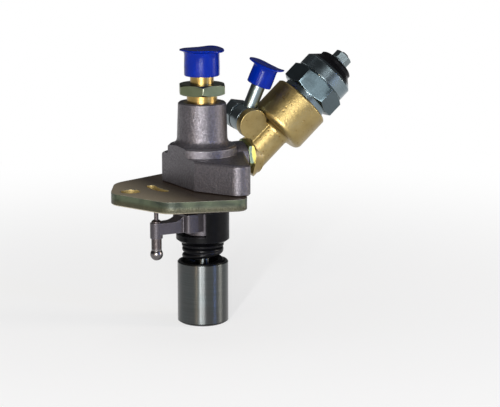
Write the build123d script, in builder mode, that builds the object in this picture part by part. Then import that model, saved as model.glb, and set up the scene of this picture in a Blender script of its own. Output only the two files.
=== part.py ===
from build123d import *
from math import degrees
import os

# Single-cylinder diesel injection pump with a fuel shut-off solenoid, in millimetres.
# The pump axis is Z and Z = 0 is the underside of the mounting plate.
# The fuel inlet points to +X, the control lever and the first stud hole to -X.
os.makedirs("parts", exist_ok=True)

# Clearances shared by the fits
running_gap = 0.05
thread_gap = 0.05
seat_gap = 0.3

# Mounting plate
plate_thick = 5.0
plate_edge_break = 0.4
stud_circle = 34.8
stud_hole_radius = 4.25
stud_b_angle = 50.0
stud_a_lobe = 8.1
stud_b_lobe = 10.0
plate_back_reach = 24.5
plate_back_angle = 159.7
plate_back_radius = 13.8
plate_corner_reach = 34.8
plate_corner_angle = 219.5
plate_corner_radius = 8.0
plate_toe_reach = 33.7
plate_toe_angle = 264.0
slot_width = 4.0
lever_swing = 18.0

# Cast body
base_radius = 18.2
base_height = 13.2
base_round = 1.4
base_chamfer = 0.6
lobe_radius = 5.0
lobe_reach = 29.5
lobe_shift = 0.5
flat_offset = 12.5
collar_radius = 14.8
collar_height = 4.0
collar_chamfer = 0.9
flare_width = 2.2
flare_height = 3.4
flare_radius = 3.6
tower_foot_radius = 10.8
tower_top_radius = 10.3
tower_top = 40.5
tower_chamfer = 0.6
inlet_height = 15.2
inlet_boss_radius = 6.7
inlet_boss_face = 19.8
inlet_boss_round = 0.8
arch_foot_half = 4.6
arch_foot_height = 4.0
gallery_radius = 8.4
gallery_bottom = 11.0
gallery_top = 21.2

# Guide sleeve under the plate
guide_radius = 11.6
guide_neck_radius = 10.9
guide_skirt_radius = 11.5
guide_bore = 9.9
guide_spigot = 4.0
guide_web_bottom = 2.0
window_top = -6.2
window_bottom = -16.7
window_half_angle = 68.0
guide_nose_top = -18.9
guide_bottom = -20.9
guide_nose_radius = 8.8
guide_nose_bore = 6.5

# Barrel and plunger
plunger_radius = 3.25
barrel_radius = 6.5
barrel_head_radius = 7.6
barrel_shoulder = 22.0
barrel_top = 26.5
barrel_neck_radius = 5.0
barrel_bottom = -9.4
plunger_top = 18.5
pumping_lift = 7.0
key_half_length = 5.3
key_radius = 1.1
key_height = -18.0
foot_radius = 4.4
foot_thick = 1.8
locating_pin_radius = 0.8

# Control lever
lever_sleeve_radius = 7.8
lever_skirt_radius = 6.1
lever_block_top = -6.8
lever_block_bottom = -14.5
lever_block_reach = 11.4
lever_block_half = 7.0
arm_top = -9.8
arm_bottom = -14.7
arm_reach = 22.6
arm_tip_half = 2.7
arm_root_half = 3.5
ball_radius = 2.75
ball_neck_radius = 2.2
ball_centre = -23.4
stem_radius = 0.95
stem_top = 3.0
rivet_radius = 1.5
lever_boss_bottom = -16.4

# Spring and tappet
upper_seat_thick = 1.2
spring_radius = 9.0
spring_wire = 2.6
spring_turns = 5.0
tappet_radius = 11.0
tappet_wall = 1.55
tappet_rim = -28.6
tappet_bottom = -55.8
tappet_floor = 4.5
shim_radius = 4.8
shim_thick = 1.6
lower_seat_rim = 1.4
spring_land = 1.4

# Delivery valve and holder
holder_thread_radius = 8.0
holder_collar_radius = 6.5
holder_hex_bottom = 43.7
holder_hex_top = 48.3
holder_hex_flats = 19.0
holder_hex_turn = 3.0
ring_wire = 0.7
ring_groove_width = 1.8
holder_groove_depth = 2.9
outlet_neck_radius = 5.05
outlet_thread_bottom = 51.7
outlet_thread_radius = 6.0
outlet_top = 60.6
valve_seat_flange = 3.0
valve_seat_neck_radius = 5.0
valve_bore = 2.5
valve_cone_bottom = 31.4
valve_cone_rise = 1.2
gasket_thick = 1.2
spring_chamber_radius = 3.7
spring_chamber_top = 45.0
outlet_bore = 1.6
delivery_lift = 2.5

# Transit caps
cap_wall = 1.5
cap_flange_radius = 9.55
cap_flange_thick = 0.9
cap_top = 63.0
nipple_cap_radius = 5.4
nipple_cap_flange_radius = 7.7
nipple_cap_length = 8.7

# Inlet elbow, swung 45 degrees up and rolled towards -Y
elbow_face = 22.0
elbow_angle = 45.0
elbow_roll = 12.0
elbow_bend_depth = 1.0
elbow_stub_radius = 8.0
elbow_stub_length = 4.2
elbow_neck_radius = 7.3
elbow_neck_start = -4.4
stub_thread_radius = 4.9
stub_bore = 2.5
stub_grip_body = 8.0
stub_grip_elbow = 4.2
lock_nut_flats = 13.0
cup_radius = 13.1
cup_bottom = 17.0
cup_rim = 34.4
cup_floor = 5.0
cup_round = 2.5
cup_bore = 9.0
fuel_bore = 2.2
valve_land_radius = 3.4
valve_land_height = 0.8

# Banjo union on the ear of the elbow
ear_radius = 6.5
ear_thick = 3.2
ear_reach = 12.7
ear_along = 10.7
ear_spot_radius = 6.9
banjo_radius = 6.0
banjo_width = 6.4
banjo_washer_thick = 0.9
banjo_thread_radius = 4.0
banjo_bolt_bore = 1.8
banjo_head_flats = 11.0
banjo_head_height = 5.5
nipple_angle = 71.6
nipple_radius = 3.1
nipple_bore = 1.6
nipple_exposed = 9.9

# Shut-off solenoid, heights measured along the neck from the elbow's origin
solenoid_collar_radius = 10.6
solenoid_hex_bottom = 36.9
solenoid_hex_top = 45.6
solenoid_hex_flats = 23.2
solenoid_hex_turn = 21.9
crown_radius = 11.9
crown_top = 55.0
crown_chamfer = 3.8
crown_roof = 3.0
nose_tip = 26.0
armature_radius = 5.0
armature_top = 41.8
armature_travel = 1.6
seal_pad_radius = 2.8
seal_pad_thick = 1.6
coil_radius = 9.2
coil_bottom = 38.8
coil_chamber_radius = 9.6
core_bottom = 43.7
pocket_depth = 3.0
insulator_radius = 8.0
insulator_wall = 1.2
insulator_land = 5.4
insulator_top = 57.4
insulator_stem_radius = 3.4
terminal_radius = 2.0
terminal_top = 62.4
terminal_nut_flats = 7.0
terminal_nut_thick = 3.4
terminal_washer_radius = 4.2
terminal_washer_thick = 0.8

# Directions of the elbow: neck_dir runs to the solenoid, side_dir to the ear, back_dir through the union
# Heights on the neck run from elbow_origin, which lies a little behind the machined face and below its centre
neck_dir = Vector(1, 0, 0).rotate(Axis.Y, -elbow_angle).rotate(Axis.X, elbow_roll)
side_dir = Vector(0, 0, 1).rotate(Axis.Y, -elbow_angle).rotate(Axis.X, elbow_roll)
back_dir = side_dir.cross(neck_dir)
elbow_origin = Vector(elbow_face + elbow_bend_depth, 0, inlet_height - elbow_bend_depth)
neck_section = Plane(origin=elbow_origin, x_dir=side_dir, z_dir=back_dir)
neck_axis = Axis(elbow_origin, neck_dir)
ear_centre = elbow_origin + neck_dir * ear_along + side_dir * ear_reach
ear_plane = Plane(origin=ear_centre, x_dir=(1, 0, 0), z_dir=back_dir)
nipple_dir = Vector(1, 0, 0).rotate(Axis((0, 0, 0), back_dir), -nipple_angle)
banjo_middle = ear_centre + back_dir * (banjo_washer_thick + banjo_width / 2)
nipple_section = Plane(origin=banjo_middle, x_dir=back_dir, z_dir=back_dir.cross(nipple_dir))
nipple_axis = Axis(banjo_middle, nipple_dir)


def neck_plane(height):
    """Plane square to the neck, a given height along it from the elbow's origin."""
    return Plane(origin=elbow_origin + neck_dir * height, x_dir=side_dir, z_dir=neck_dir)


def turned(points, plane=Plane.XZ):
    """Closed half section of a turned piece, from (radius, height) points."""
    with BuildSketch(plane) as section:
        with BuildLine():
            Polyline(*points, close=True)
        make_face()
    return section.sketch


def corner_bevel(flats, face, inward, plane=Plane.XZ):
    """Section of the ring that bevels a hexagon's corners at one end face."""
    start = flats / 2 * 0.985
    reach = flats * 0.2
    return turned([(start, face), (start + reach, face), (start + reach, face + inward * reach * 0.5)], plane)


def coil_spring(radius, wire, base, length, turns, axis_dir=(0, 0, 1)):
    """Helical spring with a closed ring at each end, from the point base along axis_dir."""
    mean = radius - wire / 2
    rise = length - wire
    start = Vector(*base) + Vector(*axis_dir) * (wire / 2)
    finish = start + Vector(*axis_dir) * rise
    with BuildPart() as spring:
        with BuildLine():
            coil = Helix(rise / turns, rise, mean, center=start, direction=axis_dir)
        with BuildSketch(Plane(origin=coil @ 0, z_dir=coil % 0)):
            Circle(wire / 2)
        sweep(path=coil, is_frenet=True)
        with Locations(Plane(origin=start, z_dir=axis_dir), Plane(origin=finish, z_dir=axis_dir)):
            Torus(mean, wire / 2)
    return spring.part


# Mounting plate: pressed steel, one convex outline round both stud lobes and the casting
with BuildPart() as mounting_flange:
    with BuildSketch():
        with PolarLocations(stud_circle, 1, start_angle=180):
            Circle(stud_a_lobe)
        with PolarLocations(stud_circle, 1, start_angle=stud_b_angle):
            Circle(stud_b_lobe)
        with PolarLocations(plate_back_reach, 1, start_angle=plate_back_angle):
            Circle(plate_back_radius)
        with PolarLocations(plate_corner_reach, 1, start_angle=plate_corner_angle):
            Circle(plate_corner_radius)
        with PolarLocations(plate_toe_reach, 1, start_angle=plate_toe_angle):
            Circle(lobe_radius)
        make_hull()
    extrude(amount=plate_thick)
    chamfer(mounting_flange.edges().group_by(Axis.Z)[0], plate_edge_break)
    with BuildSketch():
        Circle(guide_radius + thread_gap)
        with PolarLocations(stud_circle, 1, start_angle=180):
            Circle(stud_hole_radius)
        with PolarLocations(stud_circle, 1, start_angle=stud_b_angle):
            Circle(stud_hole_radius)
        stop_angle = lever_swing - degrees((slot_width / 2 - stem_radius - 2 * running_gap) / arm_reach)
        with BuildLine() as slot_line:
            CenterArc((0, 0), arm_reach, 180 - stop_angle, 2 * stop_angle)
        SlotArc(slot_line.edges()[0], slot_width)
    extrude(amount=plate_thick, mode=Mode.SUBTRACT)
mounting_flange.part.label = "mounting_flange"
export_step(mounting_flange.part, "parts/mounting_flange.step")

# Cast body: teardrop base, round collar, flared tower and an arched inlet boss
base_top = plate_thick + base_height
collar_top = base_top + collar_height
with BuildPart() as pump_body:
    with BuildSketch(Plane.XY.offset(plate_thick)):
        Circle(base_radius)
        with Locations((lobe_shift, -lobe_reach)):
            Circle(lobe_radius)
        make_hull()
    extrude(amount=base_height)
    fillet(pump_body.edges().group_by(Axis.Z)[-1], base_round)
    chamfer(pump_body.edges().group_by(Axis.Z)[0], base_chamfer)
    with BuildSketch(Plane.YZ):
        with BuildLine():
            arch_spring = plate_thick + arch_foot_height
            Line((-arch_foot_half, plate_thick), (-inlet_boss_radius, arch_spring))
            Line((-inlet_boss_radius, arch_spring), (-inlet_boss_radius, inlet_height))
            ThreePointArc((-inlet_boss_radius, inlet_height), (0, inlet_height + inlet_boss_radius),
                          (inlet_boss_radius, inlet_height))
            Line((inlet_boss_radius, inlet_height), (inlet_boss_radius, arch_spring))
            Line((inlet_boss_radius, arch_spring), (arch_foot_half, plate_thick))
            Line((arch_foot_half, plate_thick), (-arch_foot_half, plate_thick))
        make_face()
    extrude(amount=inlet_boss_face)
    fillet(pump_body.faces().sort_by(Axis.X)[-1].edges().filter_by(GeomType.CIRCLE), inlet_boss_round)
    with BuildSketch(Plane.XZ) as tower_section:
        with BuildLine():
            collar_root = base_top - collar_chamfer
            flare_start = (tower_foot_radius + flare_width, collar_top)
            flare_end = (tower_foot_radius, collar_top + flare_height)
            Polyline((0, collar_root), (collar_radius, collar_root), (collar_radius, collar_top - collar_chamfer),
                     (collar_radius - collar_chamfer, collar_top), flare_start)
            RadiusArc(flare_start, flare_end, flare_radius)
            Polyline(flare_end, (tower_top_radius, tower_top - tower_chamfer),
                     (tower_top_radius - tower_chamfer, tower_top), (0, tower_top), (0, collar_root))
        make_face()
    revolve(axis=Axis.Z)
    with BuildSketch(Plane.XY.offset(plate_thick)):
        with Locations((-flat_offset - base_radius, 0)):
            Rectangle(2 * base_radius, 4 * base_radius)
    extrude(amount=tower_top, mode=Mode.SUBTRACT)
    guide_recess = plate_thick + guide_spigot
    revolve(turned([(0, plate_thick), (guide_neck_radius + thread_gap, plate_thick),
                    (guide_neck_radius + thread_gap, guide_recess), (barrel_radius + running_gap, guide_recess),
                    (barrel_radius + running_gap, gallery_bottom), (gallery_radius, gallery_bottom),
                    (gallery_radius, gallery_top), (barrel_radius + running_gap, gallery_top),
                    (barrel_radius + running_gap, barrel_shoulder),
                    (holder_thread_radius + thread_gap, barrel_shoulder),
                    (holder_thread_radius + thread_gap, tower_top), (0, tower_top)]),
            axis=Axis.Z, mode=Mode.SUBTRACT)
    with BuildSketch(Plane.YZ.offset(inlet_boss_face)):
        with Locations((0, inlet_height)):
            Circle(stub_thread_radius + thread_gap)
    extrude(amount=-(stub_grip_body + 1), mode=Mode.SUBTRACT)
    with BuildSketch(Plane.YZ.offset(inlet_boss_face)):
        with Locations((0, inlet_height)):
            Circle(stub_bore)
    extrude(amount=-(inlet_boss_face - gallery_radius + 1), mode=Mode.SUBTRACT)
    with BuildSketch(Plane.XY.offset(gallery_top)):
        with Locations((0, barrel_head_radius)):
            Circle(locating_pin_radius + running_gap)
    extrude(amount=barrel_top - gallery_top - 0.7, mode=Mode.SUBTRACT)
pump_body.part.label = "pump_body"
export_step(pump_body.part, "parts/pump_body.step")

# Guide sleeve: spigot through the plate with a shoulder against the casting, lever window, and nose
guide_top = plate_thick + guide_spigot
with BuildPart() as guide_sleeve:
    revolve(turned([(barrel_radius + running_gap, guide_top), (guide_neck_radius, guide_top),
                    (guide_neck_radius, plate_thick), (guide_radius, plate_thick), (guide_radius, window_top),
                    (guide_skirt_radius, window_top), (guide_skirt_radius, guide_nose_top),
                    (guide_nose_radius, guide_bottom),
                    (guide_nose_bore, guide_bottom), (guide_nose_bore, window_bottom),
                    (guide_bore, window_bottom), (guide_bore, guide_web_bottom),
                    (barrel_radius + running_gap, guide_web_bottom)]), axis=Axis.Z)
    with BuildSketch(Plane.XY.offset(window_bottom)):
        with BuildLine():
            window_reach = guide_radius * 3
            left = Vector(-window_reach, 0).rotate(Axis.Z, window_half_angle)
            right = Vector(-window_reach, 0).rotate(Axis.Z, -window_half_angle)
            Polyline((0, 0), (left.X, left.Y), (-window_reach, left.Y), (-window_reach, right.Y),
                     (right.X, right.Y), close=True)
        make_face()
    extrude(amount=window_top - window_bottom, mode=Mode.SUBTRACT)
guide_sleeve.part.label = "guide_sleeve"
export_step(guide_sleeve.part, "parts/guide_sleeve.step")

# Barrel: headed pump barrel with its feed port, and a slim neck that carries the lever sleeve
port_height = plunger_top + 1.3
with BuildPart() as barrel:
    revolve(turned([(plunger_radius + running_gap, barrel_bottom), (barrel_neck_radius, barrel_bottom),
                    (barrel_neck_radius, guide_web_bottom - 1), (barrel_radius, guide_web_bottom - 1),
                    (barrel_radius, barrel_shoulder), (barrel_head_radius, barrel_shoulder),
                    (barrel_head_radius, barrel_top), (plunger_radius + running_gap, barrel_top)]),
            axis=Axis.Z)
    with BuildSketch(Plane.YZ):
        with Locations((0, port_height)):
            Circle(1.1)
    extrude(amount=barrel_radius, mode=Mode.SUBTRACT)
    with BuildSketch(Plane.XY.offset(barrel_shoulder)):
        with Locations((0, barrel_head_radius)):
            Circle(locating_pin_radius + running_gap)
    extrude(amount=barrel_top - barrel_shoulder - 0.7, mode=Mode.SUBTRACT)
barrel.part.label = "barrel"
export_step(barrel.part, "parts/barrel.step")

with BuildPart() as barrel_locating_pin:
    with BuildSketch(Plane.XY.offset(gallery_top)):
        with Locations((0, barrel_head_radius)):
            Circle(locating_pin_radius)
    extrude(amount=barrel_top - gallery_top - 1.0)
barrel_locating_pin.part.label = "barrel_locating_pin"
export_step(barrel_locating_pin.part, "parts/barrel_locating_pin.step")

# Tappet: ground cup that the cam lifts, with its shim and the spring seat round the plunger's foot
floor_top = tappet_bottom + tappet_floor
tappet_bore = tappet_radius - tappet_wall
shim_top = floor_top + shim_thick
foot_top = shim_top + foot_thick
lower_seat_top = foot_top + lower_seat_rim
spring_base = floor_top + spring_land
spring_inside = spring_radius - spring_wire
with BuildPart() as tappet:
    revolve(turned([(0, tappet_bottom), (tappet_radius - 1.2, tappet_bottom), (tappet_radius, tappet_bottom + 0.8),
                    (tappet_radius, tappet_rim - 0.5), (tappet_radius - 0.5, tappet_rim),
                    (tappet_bore + 0.4, tappet_rim), (tappet_bore, tappet_rim - 0.4), (tappet_bore, floor_top),
                    (0, floor_top)]), axis=Axis.Z)
tappet.part.label = "tappet"
export_step(tappet.part, "parts/tappet.step")

with BuildPart() as tappet_shim:
    with BuildSketch(Plane.XY.offset(floor_top)):
        Circle(shim_radius)
    extrude(amount=shim_thick)
    chamfer(tappet_shim.edges(), 0.2)
tappet_shim.part.label = "tappet_shim"
export_step(tappet_shim.part, "parts/tappet_shim.step")

with BuildPart() as lower_spring_seat:
    seat_pocket = shim_radius + seat_gap
    revolve(turned([(seat_pocket, floor_top), (tappet_bore - seat_gap, floor_top),
                    (tappet_bore - seat_gap, spring_base), (spring_inside - seat_gap, spring_base),
                    (spring_inside - seat_gap - 0.4, lower_seat_top), (plunger_radius + seat_gap, lower_seat_top),
                    (plunger_radius + seat_gap, foot_top + 0.2), (seat_pocket, foot_top + 0.2)]), axis=Axis.Z)
    with BuildSketch(Plane.XY.offset(foot_top)):
        with Locations((0, tappet_bore / 2)):
            Rectangle(2 * (plunger_radius + seat_gap), tappet_bore)
    extrude(amount=lower_seat_rim, mode=Mode.SUBTRACT)
lower_spring_seat.part.label = "lower_spring_seat"
export_step(lower_spring_seat.part, "parts/lower_spring_seat.step")

# Plunger: spill helix and slot near the top, driving key across the middle, foot in the spring seat
helix_middle = plunger_top - 6.5
with BuildPart() as plunger:
    revolve(turned([(0, shim_top), (foot_radius, shim_top), (foot_radius, foot_top), (plunger_radius - 0.4, foot_top),
                    (plunger_radius - 0.4, lower_seat_top + 1), (plunger_radius, lower_seat_top + 1.4),
                    (plunger_radius, plunger_top - 0.3), (plunger_radius - 0.3, plunger_top), (0, plunger_top)]),
            axis=Axis.Z)
    with BuildSketch(Plane.YZ.offset(-key_half_length)):
        with Locations((0, key_height)):
            Circle(key_radius)
    extrude(amount=2 * key_half_length)
    helix_plane = Plane(origin=(0, 0, helix_middle), x_dir=Vector(1, 0, 0).rotate(Axis.Y, 28), z_dir=(0, -1, 0))
    with BuildSketch(helix_plane):
        with Locations((plunger_radius + 0.9, 0)):
            Rectangle(3.2, 2.4)
    revolve(axis=Axis(helix_plane.origin, helix_plane.y_dir), mode=Mode.SUBTRACT)
    with BuildSketch(Plane.XY.offset(helix_middle)):
        with Locations((0, -plunger_radius)):
            Rectangle(1.4, 1.6)
    extrude(amount=plunger_top - helix_middle, mode=Mode.SUBTRACT)
plunger.part.label = "plunger"
export_step(plunger.part, "parts/plunger.step")

# Upper spring seat, pressed against the nose of the guide sleeve
upper_seat_bottom = guide_bottom - upper_seat_thick
with BuildPart() as upper_spring_seat:
    with BuildSketch(Plane.XY.offset(upper_seat_bottom)):
        Circle(spring_radius + 0.1)
        Circle(key_half_length + 0.5, mode=Mode.SUBTRACT)
    extrude(amount=upper_seat_thick)
    chamfer(upper_spring_seat.edges().filter_by(GeomType.CIRCLE).sort_by(SortBy.RADIUS)[-2:], 0.3)
upper_spring_seat.part.label = "upper_spring_seat"
export_step(upper_spring_seat.part, "parts/upper_spring_seat.step")

plunger_spring = coil_spring(spring_radius, spring_wire, (0, 0, spring_base), upper_seat_bottom - spring_base,
                             spring_turns)
plunger_spring.label = "plunger_spring"
export_step(plunger_spring, "parts/plunger_spring.step")

# Control lever: slotted sleeve on the barrel's neck, hub block, and a bellied arm out to the rivet boss
with BuildPart() as control_lever:
    with BuildSketch(Plane.XY.offset(window_bottom + seat_gap)):
        Circle(lever_sleeve_radius)
    extrude(amount=window_top - window_bottom - 2 * seat_gap)
    with BuildSketch(Plane.XY.offset(guide_bottom + seat_gap)):
        Circle(lever_skirt_radius)
    extrude(amount=window_bottom - guide_bottom)
    with BuildSketch(Plane.XY.offset(lever_block_bottom)):
        with Locations((-lever_block_reach / 2, 0)):
            Rectangle(lever_block_reach, 2 * lever_block_half)
    extrude(amount=lever_block_top - lever_block_bottom)
    fillet(control_lever.edges().filter_by(Axis.Z).group_by(Axis.X)[0], 1.6)
    with BuildSketch(Plane.XZ):
        with BuildLine():
            arm_shoulder = lever_block_reach + 3.4
            Polyline((-lever_block_reach + 1, arm_bottom), (-arm_reach, arm_bottom), (-arm_reach, arm_top),
                     (-arm_shoulder - 1.5, arm_top))
            RadiusArc((-arm_shoulder - 1.5, arm_top), (-lever_block_reach, lever_block_top - 0.8), -6.5)
            Polyline((-lever_block_reach, lever_block_top - 0.8), (-lever_block_reach + 1, lever_block_top - 0.8),
                     (-lever_block_reach + 1, arm_bottom))
        make_face()
    extrude(amount=arm_root_half, both=True)
    with BuildSketch(Plane.XY.offset(arm_bottom)):
        with Locations((-arm_reach, 0)):
            Circle(arm_tip_half)
    extrude(amount=arm_top - arm_bottom)
    with BuildSketch(Plane.XY.offset(arm_bottom - 0.1)):
        with BuildLine():
            side = arm_root_half + 1
            Polyline((-lever_block_reach - 0.6, arm_root_half), (-arm_reach, arm_tip_half),
                     (-arm_reach - side, arm_tip_half), (-arm_reach - side, side + 2),
                     (-lever_block_reach - 0.6, side + 2), close=True)
        make_face()
        mirror(about=Plane.XZ)
    extrude(amount=arm_top - arm_bottom + 0.2, mode=Mode.SUBTRACT)
    with BuildSketch(Plane.XY.offset(arm_bottom)):
        with Locations((-arm_reach, 0)):
            Circle(arm_tip_half)
    extrude(amount=arm_top - arm_bottom)
    with BuildSketch(Plane.XY.offset(lever_boss_bottom)):
        with Locations((-arm_reach, 0)):
            Circle(arm_tip_half)
    extrude(amount=arm_bottom - lever_boss_bottom)
    revolve(turned([(0, window_top), (barrel_neck_radius + running_gap, window_top),
                    (barrel_neck_radius + running_gap, barrel_bottom - 0.2), (plunger_radius + 0.5, barrel_bottom - 0.2),
                    (plunger_radius + 0.5, guide_bottom), (0, guide_bottom)]), axis=Axis.Z, mode=Mode.SUBTRACT)
    with BuildSketch(Plane.XY.offset(guide_bottom)):
        Rectangle(2 * key_half_length + 0.4, 2 * key_radius + 0.2)
    extrude(amount=barrel_bottom - 0.2 - guide_bottom, mode=Mode.SUBTRACT)
    with Locations(Plane.XY.offset((arm_top + arm_bottom) / 2)):
        with Locations((-arm_reach, 0)):
            Hole(rivet_radius + 0.02)
control_lever.part.label = "control_lever"
export_step(control_lever.part, "parts/control_lever.step")

# Ball pin riveted through the arm; its thin stem stands in the plate's slot as the stop
with BuildPart() as lever_ball_pin:
    pin_section = Plane(origin=(-arm_reach, 0, 0), x_dir=(1, 0, 0), z_dir=(0, -1, 0))
    pin_axis = Axis((-arm_reach, 0, 0), (0, 0, 1))
    revolve(turned([(0, ball_centre), (ball_neck_radius, ball_centre), (ball_neck_radius, lever_boss_bottom),
                    (rivet_radius, lever_boss_bottom), (rivet_radius, arm_top), (2.1, arm_top),
                    (2.1, arm_top + 0.7), (stem_radius + 0.5, arm_top + 1.3), (stem_radius, arm_top + 1.3),
                    (stem_radius, stem_top - 0.4), (stem_radius - 0.4, stem_top), (0, stem_top)], pin_section),
            axis=pin_axis)
    with Locations((-arm_reach, 0, ball_centre)):
        Sphere(ball_radius)
lever_ball_pin.part.label = "lever_ball_pin"
export_step(lever_ball_pin.part, "parts/lever_ball_pin.step")

# Delivery valve: flanged seat, guided valve with a cone, its spring, gasket, O-ring and the holder
seat_flange_top = barrel_top + valve_seat_flange
seat_top = valve_cone_bottom + valve_cone_rise
holder_bottom = seat_flange_top + gasket_thick
with BuildPart() as delivery_valve_seat:
    revolve(turned([(valve_bore, barrel_top), (barrel_head_radius, barrel_top), (barrel_head_radius, seat_flange_top),
                    (valve_seat_neck_radius, seat_flange_top), (valve_seat_neck_radius, seat_top),
                    (valve_bore + valve_cone_rise, seat_top), (valve_bore, valve_cone_bottom)]), axis=Axis.Z)
delivery_valve_seat.part.label = "delivery_valve_seat"
export_step(delivery_valve_seat.part, "parts/delivery_valve_seat.step")

with BuildPart() as delivery_gasket:
    with BuildSketch(Plane.XY.offset(seat_flange_top)):
        Circle(barrel_head_radius)
        Circle(valve_seat_neck_radius + 0.1, mode=Mode.SUBTRACT)
    extrude(amount=gasket_thick)
delivery_gasket.part.label = "delivery_gasket"
export_step(delivery_gasket.part, "parts/delivery_gasket.step")

valve_head_top = seat_top + 1.6
with BuildPart() as delivery_valve:
    stem = valve_bore - running_gap
    revolve(turned([(0, barrel_top + 0.8), (stem, barrel_top + 0.8), (stem, valve_cone_bottom),
                    (stem + valve_cone_rise - 0.3, seat_top - 0.3), (stem + valve_cone_rise - 0.3, valve_head_top),
                    (1.5, valve_head_top), (1.3, valve_head_top + 3), (0, valve_head_top + 3)]), axis=Axis.Z)
    with BuildSketch(Plane.XY.offset(barrel_top + 0.8)):
        with PolarLocations(stem + 0.5, 4):
            Circle(1.1)
    extrude(amount=valve_cone_bottom - barrel_top - 1.8, mode=Mode.SUBTRACT)
delivery_valve.part.label = "delivery_valve"
export_step(delivery_valve.part, "parts/delivery_valve.step")

delivery_valve_spring = coil_spring(spring_chamber_radius - 0.3, 1.0, (0, 0, valve_head_top),
                                    spring_chamber_top - valve_head_top, 4.0)
delivery_valve_spring.label = "delivery_valve_spring"
export_step(delivery_valve_spring, "parts/delivery_valve_spring.step")

ring_groove = tower_top - holder_groove_depth
groove_top = ring_groove + ring_groove_width
with BuildPart() as delivery_valve_holder:
    groove_floor = holder_thread_radius - 2 * ring_wire - 0.1
    holder_side = holder_thread_radius
    neck_chamber = valve_seat_neck_radius + 0.1
    revolve(turned([(neck_chamber, holder_bottom), (holder_side, holder_bottom), (holder_side, ring_groove),
                    (groove_floor, ring_groove), (groove_floor, groove_top), (holder_side, groove_top),
                    (holder_side, tower_top), (holder_collar_radius, tower_top),
                    (holder_collar_radius, holder_hex_bottom), (outlet_neck_radius, holder_hex_bottom),
                    (outlet_neck_radius, outlet_thread_bottom), (outlet_thread_radius, outlet_thread_bottom + 0.6),
                    (outlet_thread_radius, outlet_top - 0.8), (outlet_thread_radius - 0.8, outlet_top),
                    (outlet_bore + 1.7, outlet_top), (outlet_bore, outlet_top - 3), (outlet_bore, spring_chamber_top),
                    (spring_chamber_radius, spring_chamber_top), (spring_chamber_radius, seat_top + 0.3),
                    (neck_chamber, seat_top + 0.3)]), axis=Axis.Z)
    with BuildSketch(Plane.XY.offset(holder_hex_bottom)):
        RegularPolygon(holder_hex_flats / 2, 6, major_radius=False, rotation=holder_hex_turn)
        Circle(outlet_neck_radius, mode=Mode.SUBTRACT)
    extrude(amount=holder_hex_top - holder_hex_bottom)
    revolve(corner_bevel(holder_hex_flats, holder_hex_top, -1), axis=Axis.Z, mode=Mode.SUBTRACT)
    revolve(corner_bevel(holder_hex_flats, holder_hex_bottom, 1), axis=Axis.Z, mode=Mode.SUBTRACT)
delivery_valve_holder.part.label = "delivery_valve_holder"
export_step(delivery_valve_holder.part, "parts/delivery_valve_holder.step")

with BuildPart() as holder_o_ring:
    with Locations((0, 0, ring_groove + ring_groove_width / 2)):
        Torus(holder_thread_radius - ring_wire - 0.05, ring_wire)
holder_o_ring.part.label = "holder_o_ring"
export_step(holder_o_ring.part, "parts/holder_o_ring.step")

# Transit cap over the outlet thread, with the dished flange that it is pulled off by
with BuildPart() as outlet_cap:
    cap_bore = outlet_thread_radius + running_gap
    cap_outer = cap_bore + cap_wall
    flange_bottom = cap_top - cap_flange_thick
    revolve(turned([(cap_bore, outlet_thread_bottom), (cap_outer - 0.2, outlet_thread_bottom),
                    (cap_outer, outlet_thread_bottom + 0.3), (cap_outer, flange_bottom - 0.6),
                    (cap_outer + 0.6, flange_bottom), (cap_flange_radius, flange_bottom),
                    (cap_flange_radius, cap_top), (0, cap_top), (0, outlet_top + 0.6),
                    (cap_bore, outlet_top + 0.6)]), axis=Axis.Z)
    fillet(outlet_cap.edges().filter_by(GeomType.CIRCLE).sort_by(SortBy.RADIUS)[-2:], 0.35)
outlet_cap.part.label = "outlet_cap"
export_step(outlet_cap.part, "parts/outlet_cap.step")

# Inlet stub and lock nut between the casting and the elbow
with BuildPart() as inlet_stub:
    stub_start = inlet_boss_face - stub_grip_body
    stub_end = elbow_face + stub_grip_elbow
    with BuildSketch(Plane.YZ.offset(stub_start)):
        with Locations((0, inlet_height)):
            Circle(stub_thread_radius)
            Circle(stub_bore, mode=Mode.SUBTRACT)
    extrude(amount=stub_end - stub_start)
inlet_stub.part.label = "inlet_stub"
export_step(inlet_stub.part, "parts/inlet_stub.step")

with BuildPart() as inlet_lock_nut:
    with BuildSketch(Plane.YZ.offset(inlet_boss_face)):
        with Locations((0, inlet_height)):
            RegularPolygon(lock_nut_flats / 2, 6, major_radius=False, rotation=18)
            Circle(stub_thread_radius + thread_gap, mode=Mode.SUBTRACT)
    extrude(amount=elbow_face - inlet_boss_face)
inlet_lock_nut.part.label = "inlet_lock_nut"
export_step(inlet_lock_nut.part, "parts/inlet_lock_nut.step")

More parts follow.
